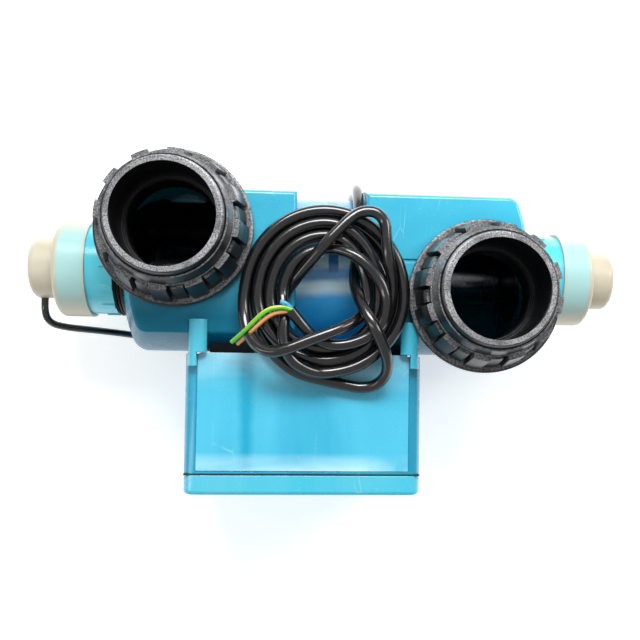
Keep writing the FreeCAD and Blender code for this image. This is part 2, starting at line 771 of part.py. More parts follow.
PLATE = (130.0, 62.0, 1.5)
CHOKE = (62.0, 46.0, 40.0)
CHOKE_X = -76.0
CHOKE_Y = 16.0
WINDOW_WIDE = 12.0
WINDOW_HIGH = 26.0
WINDOW_LIFT = 7.0
WINDOW_STARTS = (11.0, 37.0)
CROWN = 5.0
BOARD = (54.0, 52.0, 1.6)
BOARD_X = -12.5
BOARD_Y = 13.0
STAND_HIGH = 5.0
STAND_RADIUS = 2.5
STANDS = [(5.0, 18.0), (5.0, 60.0), (49.0, 18.0), (49.0, 60.0)]
CANS = [(6.0, 22.0, 10.0, 30.0), (6.0, 22.0, 10.0, 46.0), (4.0, 12.0, 22.0, 24.0),
        (8.0, 16.0, 27.0, 48.0)]
TERMINAL = (12.0, 34.0, 12.0)
TERMINAL_X = 38.0
TERMINAL_Y = 22.0
TERMINAL_PITCH = 11.0


def make_choke(yard, top):
    """Laminated core with two windows, and one winding round its middle leg."""
    long, wide, high = CHOKE
    near = yard + CHOKE_Y
    core = block(long, wide, high, (CHOKE_X, near, top))
    windows = [block(WINDOW_WIDE, wide + 2.0, WINDOW_HIGH,
                     (CHOKE_X + start, near - 1.0, top + WINDOW_LIFT))
               for start in WINDOW_STARTS]
    node(cut(core, windows), "choke_core")
    left = CHOKE_X + WINDOW_STARTS[0] + 0.2
    right = CHOKE_X + WINDOW_STARTS[1] + WINDOW_WIDE - 0.2
    leg = (CHOKE_X + WINDOW_STARTS[0] + WINDOW_WIDE, CHOKE_X + WINDOW_STARTS[1])
    hank = block(right - left, wide + 2.0 * CROWN, WINDOW_HIGH - 0.4,
                 (left, near - CROWN, top + WINDOW_LIFT + 0.2))
    hole = block(leg[1] - leg[0] + 0.4, wide + 0.6, WINDOW_HIGH + 1.0,
                 (leg[0] - 0.2, near - 0.3, top + WINDOW_LIFT))
    node(cut(hank, [hole]), "choke_winding")


def make_board(yard, top):
    """Printed board on four stands, with its capacitors and its terminal block."""
    long, wide, thick = BOARD
    base = top + STAND_HIGH
    face = base + thick
    node(block(long, wide, thick, (BOARD_X, yard + BOARD_Y, base)), "ballast_board")
    node(group([cylinder(STAND_RADIUS, STAND_HIGH, (BOARD_X + x, yard + y, top))
                for x, y in STANDS]), "board_standoffs")
    node(group([cylinder(radius, high, (BOARD_X + x, yard + y, face))
                for radius, high, x, y in CANS]), "board_capacitors")
    terminal = block(*TERMINAL, (BOARD_X + TERMINAL_X, yard + TERMINAL_Y, face))
    spots = [(BOARD_X + TERMINAL_X + TERMINAL[0] / 2,
              yard + TERMINAL_Y + TERMINAL[1] / 2 + TERMINAL_PITCH * index,
              face + TERMINAL[2] / 2) for index in (-1, 0, 1)]
    node(cut(terminal, [cylinder(2.4, TERMINAL[2], spot) for spot in spots]), "terminal_block")
    node(group([cylinder(2.1, 4.0, spot) for spot in spots]), "terminal_screws")


def make_ballast():
    """Choke, board and terminals, all standing on the inside of the box's back."""
    yard = S.axis_y + S.box_seam
    node(block(*PLATE, (S.box_left + 13.0, yard + 9.0, S.box_wall)), "mounting_plate")
    top = S.box_wall + PLATE[2]
    make_choke(yard, top)
    make_board(yard, top)


# ---------------------------------------------------------------- cables

def rounded_path(points):
    """Straight runs joined by tangent arcs as large as the shorter run allows."""
    edges = []
    radii = []
    start = points[0]
    for before, corner, after in zip(points, points[1:], points[2:]):
        inward = before - corner
        outward = after - corner
        turn = math.pi - inward.getAngle(outward)
        shorter = min(inward.Length, outward.Length)
        reach = 0.45 * shorter
        radius = reach / math.tan(turn / 2)
        radii.append(radius)
        inward.normalize()
        outward.normalize()
        first = corner + inward * reach
        last = corner + outward * reach
        middle_way = inward + outward
        middle_way.normalize()
        middle = corner + middle_way * (radius / math.cos(turn / 2) - radius)
        edges.append(Part.LineSegment(start, first).toShape())
        edges.append(Part.Arc(first, middle, last).toShape())
        start = last
    edges.append(Part.LineSegment(start, points[-1]).toShape())
    return Part.Wire(edges), radii


def make_cord(label, route, radius):
    """A round cord along a route given as (x, y from the lamp line, z)."""
    line_y = value_of(S.axis_y)
    points = [Vector(x, line_y + y, z) for x, y, z in route]
    path, radii = rounded_path(points)
    size = value_of(radius)
    circle = Part.Circle(points[0], points[1] - points[0], size)
    profile = Part.Wire([circle.toShape()])
    solid = path.makePipeShell([profile], True, False)
    cord = doc.addObject("Part::Feature", new_name("cord"))
    cord.Shape = solid
    swept = math.pi * size ** 2 * path.Length
    print(label, "length", round(path.Length, 1), "volume ratio", round(solid.Volume / swept, 4),
          "smallest radius", round(min(radii), 1), "radii", [round(item, 1) for item in radii])
    return node(cord, label)


LEAD_GLAND_X = -80.0
LEAD_GLAND_Z = 9.0
LEAD_ROUTE = [
    (-201.0, -17.6, 67.0), (-201.0, -29.5, 66.8), (-200.4, -36.0, 63.2), (-196.8, -39.6, 58.2),
    (-189.0, -41.2, 52.0), (-180.5, -41.8, 46.6), (-171.0, -42.4, 40.6), (-161.0, -43.2, 33.6),
    (-151.5, -44.0, 25.0), (-141.5, -45.2, 15.0), (-131.0, -46.4, 7.4), (-119.0, -47.0, 4.4),
    (-104.0, -46.8, 4.2), (-90.0, -46.6, 4.2), (-83.0, -49.4, 6.4), (-80.2, -55.0, 8.6),
    (-80.0, -61.6, 9.0),
]
MAINS_ROUTE = [
    (8.0, -23.5, 11.0), (8.2, -12.0, 9.0), (9.2, 1.5, 5.4), (11.2, 16.0, 4.8),
    (13.8, 30.0, 8.0), (16.0, 42.5, 17.0), (17.6, 52.5, 30.5), (18.4, 59.5, 46.0),
    (18.6, 62.0, 63.5), (18.6, 61.0, 81.0), (18.4, 55.5, 98.5), (18.6, 44.5, 111.0),
    (18.8, 33.5, 118.0), (18.6, 22.5, 121.9), (18.0, 11.5, 123.8), (16.2, 1.0, 125.8),
]
EARTH_ROUTE = [
    (-24.2, -31.4, 149.6), (-27.0, -28.8, 151.2), (-33.0, -28.0, 152.2), (-41.0, -30.4, 152.4),
    (-49.0, -36.0, 150.0), (-55.5, -42.6, 145.6), (-60.5, -48.6, 138.5), (-65.0, -53.8, 130.5),
]
LIVE_ROUTE = [
    (-24.2, -32.8, 148.0), (-28.0, -31.6, 149.6), (-34.0, -31.6, 150.2), (-41.5, -34.8, 150.2),
    (-48.4, -40.2, 148.0), (-54.0, -46.6, 144.0), (-58.6, -52.6, 138.0), (-62.4, -57.6, 130.6),
]
NEUTRAL_ROUTE = [
    (-24.8, -30.8, 148.4), (-28.4, -26.8, 151.0), (-32.4, -24.8, 152.6), (-36.6, -24.0, 152.4),
]


# (radius, distance out from the box) corners of the turned gland pieces
GLAND_BODY = [
    (3.9, -8.0), (6.0, -8.0), (6.0, 0.0), (8.4, 0.0), (8.4, 4.0), (5.9, 4.0), (5.9, 9.0),
    (3.9, 9.0),
]
GLAND_NUT = [
    (6.2, 4.3), (8.4, 4.3), (8.4, 11.0), (6.8, 13.6), (5.4, 13.6), (5.4, 11.0), (6.2, 11.0),
]
GLAND_LOCKNUT = [(6.05, -6.2), (7.9, -6.2), (7.9, -3.1), (6.05, -3.1)]
STRAIN_RELIEF = [(0.0, 9.2), (5.1, 9.2), (5.1, 16.0), (4.2, 37.5), (0.0, 37.5)]
GROMMET = [
    (2.7, -6.0), (5.1, -6.0), (5.1, 0.0), (7.0, 0.0), (7.0, 3.0), (5.0, 5.0), (2.7, 5.0),
]


def make_glands():
    """Cable gland of the mains lead and grommet of the lamp's lead."""
    y = S.axis_y + S.box_top
    mains = (S.gland_x, y, S.gland_z)
    node(lathe(GLAND_BODY, mains, "y"), "mains_gland_body")
    node(lathe(GLAND_NUT, mains, "y"), "mains_gland_nut")
    node(lathe(GLAND_LOCKNUT, mains, "y"), "mains_gland_locknut_ring")
    node(lathe(STRAIN_RELIEF, mains, "y"), "mains_strain_relief")
    node(lathe(GROMMET, (LEAD_GLAND_X, y, LEAD_GLAND_Z), "y"), "lead_grommet")


def make_coil():
    """The outer shape of the loose hank of cable that lies over the housings."""
    centre = Vector(*[value_of(part) for part in (S.coil_x, S.axis_y + S.coil_y, S.coil_low)])
    tall = value_of(S.coil_high - S.coil_low)

    def disc(half_x, half_y):
        long, short = (half_x, half_y) if half_x > half_y else (half_y, half_x)
        oval = Part.Ellipse(Vector(), long, short).toShape()
        oval.rotate(Vector(), Vector(0, 0, 1), 0 if half_x > half_y else 90)
        face = Part.Face(Part.Wire([oval]))
        face.translate(centre)
        return face.extrude(Vector(0, 0, tall))

    outside = disc(value_of(S.coil_half_x), value_of(S.coil_half_y))
    inside = disc(value_of(S.coil_hole_x), value_of(S.coil_hole_y))
    coil = doc.addObject("Part::Feature", "coil")
    coil.Shape = outside.cut(inside)
    return node(coil, "cable_coil")


# ---------------------------------------------------------------- the whole

def build():
    make_housing(-1, "inlet_housing")
    make_housing(1, "outlet_housing")
    make_chamber()
    for side, name in ((-1, "inlet"), (1, "outlet")):
        make_union(side, name)
    for name, side in SIDES.items():
        make_end_spigot(side, f"{name}_end_spigot")
        make_collar(side, f"{name}_collar")
        make_lampholder(side, f"{name}_lampholder")
    make_boots()
    make_lamp()
    make_box_shell()
    make_front_panel()
    make_base_lid()
    make_post(S.box_left + S.post_inset, "left_saddle_post")
    make_post(S.box_right - S.post_inset, "right_saddle_post")
    make_saddle()
    make_ballast()
    make_glands()
    make_cord("lamp_lead", LEAD_ROUTE, S.lead_radius)
    make_cord("mains_cable", MAINS_ROUTE, S.cable_radius)
    make_cord("core_earth", EARTH_ROUTE, S.core_radius)
    make_cord("core_live", LIVE_ROUTE, S.core_radius)
    make_cord("core_neutral", NEUTRAL_ROUTE, S.core_radius)
    make_coil()


def check():
    for thing in doc.Objects:
        faults = [state for state in thing.State if state in ("Invalid", "Error")]
        if faults:
            raise SystemExit(f"{thing.Label} ({thing.TypeId}) failed: {faults}")
    for thing in NODES:
        if thing.Shape.isNull() or not thing.Shape.isValid():
            raise SystemExit(f"{thing.Label} has no valid shape")
        if not thing.Shape.Solids:
            raise SystemExit(f"{thing.Label} has no solid")


def write():
    os.makedirs("parts", exist_ok=True)
    for thing in NODES:
        thing.Shape.exportStep(f"parts/{thing.Label}.step")
    print(len(NODES), "nodes")


build()
doc.recompute()
check()
write()
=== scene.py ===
import math

import bpy
from mathutils import Euler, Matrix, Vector


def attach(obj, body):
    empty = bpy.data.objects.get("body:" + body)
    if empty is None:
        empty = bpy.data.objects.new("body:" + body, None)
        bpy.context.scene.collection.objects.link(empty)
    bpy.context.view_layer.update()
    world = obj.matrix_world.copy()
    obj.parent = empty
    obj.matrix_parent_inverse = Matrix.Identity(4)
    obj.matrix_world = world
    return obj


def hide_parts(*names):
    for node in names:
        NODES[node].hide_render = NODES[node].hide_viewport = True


# In-line UV-C water steriliser lying on its back, seen from above.
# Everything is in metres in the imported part's own frame: X along the lamp, Z up.

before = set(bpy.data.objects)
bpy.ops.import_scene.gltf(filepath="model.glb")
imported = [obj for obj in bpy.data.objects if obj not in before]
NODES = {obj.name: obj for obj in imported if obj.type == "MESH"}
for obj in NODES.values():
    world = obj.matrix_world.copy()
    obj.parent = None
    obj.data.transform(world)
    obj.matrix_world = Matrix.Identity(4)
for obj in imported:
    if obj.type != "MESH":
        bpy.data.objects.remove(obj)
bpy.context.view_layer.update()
MM = 0.001

LAMP_Y = 0.041
LAMP_Z = 0.067


# ---------------------------------------------------------------- materials

class Look:
    """One procedural material, with short calls for the nodes that it is made of."""

    def __init__(self, name, **settings):
        self.material = bpy.data.materials.new(name)
        self.material.use_nodes = True
        self.tree = self.material.node_tree
        self.shader = self.tree.nodes["Principled BSDF"]
        self.place = self.add("ShaderNodeTexCoord").outputs["Object"]
        for title, value in settings.items():
            self.shader.inputs[title.replace("_", " ")].default_value = value

    def add(self, kind, **values):
        made = self.tree.nodes.new(kind)
        for title, value in values.items():
            setattr(made, title, value)
        return made

    def feed(self, socket, value):
        if isinstance(value, bpy.types.NodeSocket):
            self.tree.links.new(value, socket)
        else:
            socket.default_value = value

    def stretched(self, scale):
        mapping = self.add("ShaderNodeMapping")
        self.feed(mapping.inputs["Vector"], self.place)
        mapping.inputs["Scale"].default_value = scale
        return mapping.outputs["Vector"]

    def noise(self, scale, detail=4.0, stretch=(1.0, 1.0, 1.0), twist=0.0):
        texture = self.add("ShaderNodeTexNoise")
        self.feed(texture.inputs["Vector"], self.stretched(stretch))
        texture.inputs["Scale"].default_value = scale
        texture.inputs["Detail"].default_value = detail
        texture.inputs["Distortion"].default_value = twist
        return texture.outputs["Fac"]

    def cells(self, scale, feature="F1", stretch=(1.0, 1.0, 1.0)):
        texture = self.add("ShaderNodeTexVoronoi", feature=feature)
        self.feed(texture.inputs["Vector"], self.stretched(stretch))
        texture.inputs["Scale"].default_value = scale
        return texture.outputs["Distance"]

    def ramp(self, factor, *stops):
        """Each stop is (place, grey or colour); the result is a colour."""
        ramp = self.add("ShaderNodeValToRGB")
        self.feed(ramp.inputs["Fac"], factor)
        elements = ramp.color_ramp.elements
        while len(elements) < len(stops):
            elements.new(0.5)
        for element, (place, shade) in zip(elements, stops):
            element.position = place
            element.color = colour(shade)
        return ramp.outputs["Color"]

    def mix(self, factor, first, second, how="MIX"):
        blend = self.add("ShaderNodeMix", data_type="RGBA", blend_type=how)
        self.feed(blend.inputs[0], factor)
        for socket, value in ((blend.inputs[6], first), (blend.inputs[7], second)):
            self.feed(socket, value if isinstance(value, bpy.types.NodeSocket) else colour(value))
        return blend.outputs[2]

    def sum(self, how, first, second):
        sums = self.add("ShaderNodeMath", operation=how)
        self.feed(sums.inputs[0], first)
        self.feed(sums.inputs[1], second)
        return sums.outputs[0]

    def axis(self, letter, source=None):
        split = self.add("ShaderNodeSeparateXYZ")
        self.feed(split.inputs[0], source or self.place)
        return split.outputs[letter]

    def from_lamp(self):
        """Distance from the lamp's axis."""
        across = self.sum("SUBTRACT", self.axis("Y"), LAMP_Y)
        up = self.sum("SUBTRACT", self.axis("Z"), LAMP_Z)
        squares = [self.sum("MULTIPLY", way, way) for way in (across, up)]
        return self.sum("SQRT", self.sum("ADD", *squares), 0.0)

    def facing_up(self):
        """How far a surface faces up, from 0 to 1."""
        normal = self.add("ShaderNodeNewGeometry").outputs["Normal"]
        return self.sum("MAXIMUM", self.axis("Z", normal), 0.0)

    def span(self, value, low, high, first=0.0, last=1.0):
        fitted = self.add("ShaderNodeMapRange")
        self.feed(fitted.inputs["Value"], value)
        limits = {"From Min": low, "From Max": high, "To Min": first, "To Max": last}
        for title, limit in limits.items():
            fitted.inputs[title].default_value = limit
        return fitted.outputs["Result"]

    def colour(self, value):
        self.feed(self.shader.inputs["Base Color"], value)

    def roughness(self, factor, low, high):
        self.feed(self.shader.inputs["Roughness"], self.span(factor, 0.0, 1.0, low, high))

    def relief(self, *layers, edge=0.0):
        """Bumps of (height, depth in metres), over edges softened by a radius."""
        normal = None
        if edge:
            soft = self.add("ShaderNodeBevel", samples=6)
            soft.inputs["Radius"].default_value = edge
            normal = soft.outputs["Normal"]
        for height, depth in layers:
            bump = self.add("ShaderNodeBump")
            bump.inputs["Distance"].default_value = depth
            self.feed(bump.inputs["Height"], height)
            if normal:
                self.feed(bump.inputs["Normal"], normal)
            normal = bump.outputs["Normal"]
        self.feed(self.shader.inputs["Normal"], normal)

    def on(self, *names):
        for name in names:
            piece = NODES[name]
            for slot in piece.material_slots:
                slot.material = self.material


def colour(shade):
    """A grey or a colour as red, green, blue and alpha."""
    if isinstance(shade, (int, float)):
        return (shade, shade, shade, 1.0)
    return (*shade[:3], 1.0)


TEAL = (0.012, 0.330, 0.500)
TEAL_DEEP = (0.006, 0.235, 0.390)
TEAL_PALE = (0.045, 0.470, 0.650)
TEAL_LIT = (0.100, 0.510, 0.640)
TEAL_PAINTED_SHADE = (0.003, 0.150, 0.250)
BORE_RADIUS = 0.051
FLANK_SHADE_TOP_Y = 0.036
FLANK_SHADE_LOW_Y = 0.004


def scratches(look, size, stretch):
    """Thin broken lines, as a factor from 0 to 1."""
    lines = look.cells(size, "DISTANCE_TO_EDGE", stretch)
    thin = look.ramp(lines, (0.0, 1.0), (0.012, 0.0))
    broken = look.ramp(look.noise(38.0, 2.0), (0.56, 0.0), (0.66, 1.0))
    return look.mix(1.0, thin, broken, "MULTIPLY")


def teal_plastic(name, pale, deep, flow, edge):
    """Moulded plastic with flow marks, a fine skin texture, scuffs and dust."""
    look = Look(name, IOR=1.5, Coat_Weight=0.35, Coat_Roughness=0.10)
    clouds = look.noise(9.0, 3.0, flow, 0.6)
    base = look.mix(look.ramp(clouds, (0.30, 0.0), (0.72, 1.0)), deep, pale)
    marks = scratches(look, 60.0, (1.0, 0.22, 1.0))
    scuffed = look.mix(look.mix(1.0, marks, 0.35, "MULTIPLY"), base, (0.45, 0.72, 0.78))
    dust = look.ramp(look.noise(700.0, 2.0), (0.70, 0.0), (0.78, 0.30))
    dusty = look.mix(look.mix(1.0, dust, look.facing_up(), "MULTIPLY"), scuffed,
                     (0.55, 0.74, 0.80))
    look.roughness(look.noise(60.0, 4.0), 0.18, 0.36)
    look.relief((look.noise(520.0, 3.0), 0.00005), (look.noise(28.0, 2.0), 0.0005),
                (marks, -0.00008), edge=edge)
    look.colour(dusty)
    return look, dusty


def housing_look():
    """Teal outside, with painted shade darkening and dulling the near flank; inside the bore,
    painted shade.
    """
    look, plain = teal_plastic("housing_teal", TEAL_PALE, TEAL, (0.5, 1.0, 1.0), 0.0008)
    # Painted shade: towards the near flank the teal darkens to a shade teal and loses its coat.
    flank_painted_shade = look.span(look.axis("Y"), FLANK_SHADE_TOP_Y, FLANK_SHADE_LOW_Y)
    outside = look.mix(flank_painted_shade, plain, TEAL_PAINTED_SHADE)
    look.feed(look.shader.inputs["Coat Weight"], look.span(flank_painted_shade, 0.0, 1.0, 0.35, 0.0))
    look.feed(look.shader.inputs["Specular IOR Level"], look.span(flank_painted_shade, 0.0, 1.0, 0.5, 0.22))
    # Painted shade inside the bore: near black at the inlet, a dim deep teal at the outlet.
    bore_painted_shade = look.mix(look.span(look.axis("X"), -0.05, 0.05), (0.0006, 0.003, 0.006),
                       (0.005, 0.150, 0.230))
    inside = look.span(look.from_lamp(), BORE_RADIUS, BORE_RADIUS - 0.0006)
    look.colour(look.mix(inside, outside, bore_painted_shade))
    look.on("inlet_housing", "outlet_housing")


REFLECTION_STREAK_X = -0.0540
REFLECTION_STREAK_HALF = 0.0075
REFLECTION_STREAK_BLUE = (0.001, 0.330, 0.520)
PANEL_FOOT = -0.0960
FOOT_HIGHLIGHT_BAND = 0.012
HEAD_PATCHES_FROM = -0.045
HEAD_PATCHES_TO = -0.022
PALE_PANEL_TEAL = (0.58, 0.86, 0.95)


def panel_look():
    """The panel has a painted reflection with one deeper streak up it, a painted highlight along
    its foot and pale patches near its head.
    """
    look, plain = teal_plastic("panel_teal", (0.080, 0.520, 0.720), (0.030, 0.390, 0.590),
                               (2.2, 0.5, 1.0), 0.0006)
    # Painted reflection: one deeper vertical streak where the panel's sky reflection breaks.
    away = look.sum("ABSOLUTE", look.sum("SUBTRACT", look.axis("X"), REFLECTION_STREAK_X), 0.0)
    wander = look.sum("MULTIPLY", look.noise(40.0, 2.0), 0.006)
    reflection_streak = look.span(look.sum("ADD", away, wander), REFLECTION_STREAK_HALF + 0.002, REFLECTION_STREAK_HALF - 0.003)
    with_reflection_streak = look.mix(look.sum("MULTIPLY", reflection_streak, 0.9), plain, REFLECTION_STREAK_BLUE)
    y = look.axis("Y")
    # Painted highlight: a pale band along the panel's foot; near its head, pale patches of the
    # same teal.
    foot_highlight = look.span(y, PANEL_FOOT + FOOT_HIGHLIGHT_BAND, PANEL_FOOT, 0.0, 0.9)
    head = look.span(y, HEAD_PATCHES_FROM, HEAD_PATCHES_TO, 0.0, 0.55)
    patches = look.ramp(look.noise(34.0, 4.0, (0.35, 1.0, 1.0), 0.8), (0.34, 0.10), (0.66, 1.0))
    highlight_and_patches = look.mix(1.0, look.sum("ADD", foot_highlight, head), patches, "MULTIPLY")
    look.colour(look.mix(highlight_and_patches, with_reflection_streak, PALE_PANEL_TEAL))
    look.on("front_panel")


def box_look():
    """The ballast box, its lid, the saddle posts and the panel."""
    look, _ = teal_plastic("box_teal", TEAL, TEAL_DEEP, (3.0, 0.5, 1.0), 0.0012)
    look.on("box_shell")
    # Painted light: the lid and the saddle posts get a paler, lit copy of the box teal.
    look, _ = teal_plastic("painted_lit_lid_teal", TEAL_LIT, TEAL_PALE, (3.0, 0.5, 1.0), 0.0012)
    look.on("base_lid", "left_saddle_post", "right_saddle_post")
    panel_look()


def collar_look():
    """Pale glossy teal of the screw collars."""
    look = Look("collar_teal", IOR=1.49, Coat_Weight=0.5, Coat_Roughness=0.08)
    clouds = look.noise(30.0, 3.0)
    look.colour(look.mix(clouds, (0.04, 0.50, 0.66), (0.16, 0.72, 0.84)))
    look.roughness(look.noise(90.0), 0.14, 0.30)
    look.relief((look.noise(600.0), 0.00004), edge=0.0005)
    look.on("left_collar", "right_collar")


def painted_sheen(look, speckle, low):
    """Painted sheen: pale specks on surfaces above a height that face up and towards the middle,
    where the lamps reflect.
    """
    normal = look.add("ShaderNodeNewGeometry").outputs["Normal"]
    side = look.sum("SIGN", look.axis("X"), 0.0)
    inward = look.sum("MULTIPLY", look.sum("MULTIPLY", look.axis("X", normal), side), -0.55)
    upward = look.sum("MULTIPLY", look.axis("Z", normal), 0.75)
    yonder = look.sum("MULTIPLY", look.axis("Y", normal), 0.30)
    slope = look.span(look.sum("ADD", look.sum("ADD", inward, upward), yonder), 0.50, 0.92)
    high = look.span(look.axis("Z"), low - 0.002, low)
    grains = look.ramp(look.noise(speckle, 3.0), (0.38, 0.20), (0.62, 1.0))
    patches = look.ramp(look.noise(60.0, 4.0), (0.30, 0.35), (0.65, 1.0))
    where = look.sum("MULTIPLY", slope, high)
    return look.mix(1.0, look.mix(1.0, grains, patches, "MULTIPLY"), where, "MULTIPLY")


def black_plastic(name, amount, rough_low, rough_high, speckle, low=0.0):
    """Black moulded plastic with a painted sheen of silvery specks above a height."""
    look = Look(name, IOR=1.5, Coat_Weight=0.06, Coat_Roughness=0.18, Specular_IOR_Level=0.38)
    # Painted sheen: the black is lifted to pale silver in specks where the mask lets it.
    sheened = look.mix(1.0, painted_sheen(look, speckle, low), amount, "MULTIPLY")
    look.colour(look.mix(sheened, (0.006, 0.006, 0.007), (0.80, 0.81, 0.84)))
    look.roughness(look.noise(110.0, 5.0), rough_low, rough_high)
    look.relief((look.noise(speckle * 0.8, 4.0), 0.00012), (look.noise(60.0), 0.0003), edge=0.0007)
    return look


def union_look():
    """The black union parts, each with painted sheen above its own height, and the plain threads.
    """
    black_plastic("union_nut_black", 0.66, 0.22, 0.44, 900.0, 0.150).on(
        "inlet_union_nut", "outlet_union_nut")
    black_plastic("union_socket_black", 0.92, 0.20, 0.42, 1100.0, 0.1735).on(
        "inlet_union_socket", "outlet_union_socket")
    black_plastic("port_base_black", 0.60, 0.26, 0.50, 800.0, 0.133).on(
        "inlet_port_base", "outlet_port_base")
    black_plastic("thread_black", 0.08, 0.30, 0.50, 900.0).on(
        "left_end_spigot", "right_end_spigot", "mains_gland_body", "mains_gland_nut",
        "mains_gland_locknut_ring")


COLLAR_FROM = 0.1664
COLLAR_TO = 0.1845


def boot_look():
    """Soft, cloudy rubber; where it faces up over the collar, the collar showing through is
    painted in as a pale teal.
    """
    look = Look("boot_rubber", IOR=1.41, Transmission_Weight=0.20, Subsurface_Weight=0.12,
                Subsurface_Radius=(0.010, 0.009, 0.006), Subsurface_Scale=0.4,
                Coat_Weight=0.3, Coat_Roughness=0.2)
    clouds = look.noise(45.0, 4.0)
    stains = look.ramp(look.noise(18.0, 5.0), (0.35, 0.0), (0.80, 0.5))
    cream = look.mix(stains, look.mix(clouds, (0.60, 0.55, 0.42), (0.74, 0.70, 0.57)),
                     (0.54, 0.47, 0.31))
    along = look.sum("ABSOLUTE", look.axis("X"), 0.0)
    covered = look.sum("MULTIPLY", look.span(along, COLLAR_FROM, COLLAR_FROM + 0.002),
                       look.span(along, COLLAR_TO + 0.0016, COLLAR_TO - 0.0012))
    # Painted show-through: the collar's teal seen through the rubber is painted onto the boot.
    painted_show_through = look.sum("MULTIPLY", covered, look.span(look.facing_up(), 0.45, 0.85, 0.0, 0.85))
    look.colour(look.mix(painted_show_through, cream, (0.42, 0.78, 0.78)))
    look.roughness(look.noise(160.0), 0.24, 0.42)
    look.relief((look.noise(480.0), 0.00008), (look.noise(36.0), 0.0004))
    look.on("left_boot", "right_boot")


def lampholder_look():
    look = Look("holder_plastic", IOR=1.5)
    look.colour(look.mix(look.noise(70.0), (0.36, 0.33, 0.40), (0.52, 0.50, 0.56)))
    look.roughness(look.noise(120.0), 0.35, 0.55)
    look.relief((look.noise(700.0), 0.00006), edge=0.0004)
    look.on("left_lampholder", "right_lampholder")


def glass_look():
    look = Look("quartz_clear", IOR=1.46, Transmission_Weight=1.0)
    look.colour(look.mix(look.noise(20.0), (0.93, 0.96, 0.97), (0.98, 0.99, 1.0)))
    look.roughness(look.noise(70.0), 0.01, 0.07)
    look.relief((look.noise(24.0, 1.0), 0.00010))
    look.feed(look.shader.inputs["Specular IOR Level"],
              look.span(look.axis("X"), -0.05, 0.03, 0.0, 0.5))
    look.on("quartz_sleeve", "lamp_glass")


FILM_NEAR_Y = -0.012
FILM_FAR_Y = 0.094
RAGGED = 0.0022
STRIPE_X = 0.0018
STRIPE_HALF = 0.0036
STRIPE_END_Y = 0.0345


def label_look():
    """A printed film: blues, pale patches and one stripe, with a painted highlight band along the
    tube and painted shade on its near side.
    """
    look = Look("label_film", IOR=1.5, Coat_Weight=0.4, Coat_Roughness=0.08)
    y = look.axis("Y")
    ragged = look.sum("ADD", y, look.span(look.noise(90.0, 3.0, (0.25, 1.0, 1.0)), 0.3, 0.7,
                                          -RAGGED, RAGGED))
    across = look.span(ragged, FILM_NEAR_Y, FILM_FAR_Y)
    # Painted light in the ramp: the pale band at 0.335 to 0.375 is a painted highlight. The blues
    # below 0.28 are brightened against the cable hank's shadow and darken towards the near edge as
    # painted shade. The pale stops at 0.52 to 0.58 are print.
    print_and_painted_light = look.ramp(across, (0.00, (0.010, 0.260, 0.640)), (0.16, (0.014, 0.360, 0.820)),
                      (0.28, (0.040, 0.420, 0.860)), (0.335, (0.58, 0.85, 0.98)),
                      (0.375, (0.62, 0.88, 0.98)), (0.42, (0.065, 0.330, 0.680)),
                      (0.47, (0.080, 0.360, 0.720)), (0.52, (0.52, 0.76, 0.94)),
                      (0.58, (0.34, 0.60, 0.86)), (0.72, (0.060, 0.300, 0.660)),
                      (1.00, (0.050, 0.290, 0.640)))
    away = look.sum("ABSOLUTE", look.sum("SUBTRACT", look.axis("X"), STRIPE_X), 0.0)
    stripe = look.sum("MULTIPLY", look.span(away, STRIPE_HALF, STRIPE_HALF - 0.0006),
                      look.span(y, STRIPE_END_Y, STRIPE_END_Y + 0.002))
    striped = look.mix(stripe, print_and_painted_light, (0.025, 0.180, 0.480))
    cloud = look.ramp(look.noise(55.0, 4.0, (1.0, 1.0, 1.0), 1.2), (0.42, 0.0), (0.74, 0.22))
    look.colour(look.mix(cloud, striped, (0.16, 0.46, 0.84)))
    look.roughness(look.noise(80.0), 0.10, 0.26)
    look.relief((look.noise(90.0, 3.0), 0.00018))
    look.on("label_wrap")


def pipe_look():
    look = Look("chamber_pipe", IOR=1.5)
    look.colour(look.mix(look.noise(20.0), (0.50, 0.53, 0.54), (0.62, 0.65, 0.66)))
    look.roughness(look.noise(60.0), 0.25, 0.45)
    look.relief((look.noise(300.0), 0.00008))
    look.on("chamber_tube")


def rubber_look():
    look = Look("seal_rubber", IOR=1.5)
    look.colour(look.mix(look.noise(140.0), (0.010, 0.010, 0.010), (0.030, 0.029, 0.028)))
    look.roughness(look.noise(200.0), 0.55, 0.80)
    look.relief((look.noise(900.0), 0.00010))
    look.on("inlet_union_o_ring", "outlet_union_o_ring", "inlet_port_seal_washer",
            "outlet_port_seal_washer", "quartz_seals", "chamber_seals", "saddle_pads",
            "lid_gasket", "lead_grommet", "lamp_spacer_rings")


def sheath_look():
    """Glossy flexible cable sheath with faint waviness and fine scuffs."""
    look = Look("cable_sheath", IOR=1.55, Coat_Weight=0.6, Coat_Roughness=0.08)
    haze = look.ramp(look.noise(150.0, 4.0), (0.55, 0.0), (0.80, 0.12))
    look.colour(look.mix(haze, (0.005, 0.005, 0.006), (0.08, 0.08, 0.085)))
    look.roughness(look.noise(210.0, 3.0), 0.14, 0.30)
    look.relief((look.noise(90.0, 2.0), 0.00014), (look.noise(900.0), 0.00003))
    look.on("lamp_lead", "mains_strain_relief")
    return look


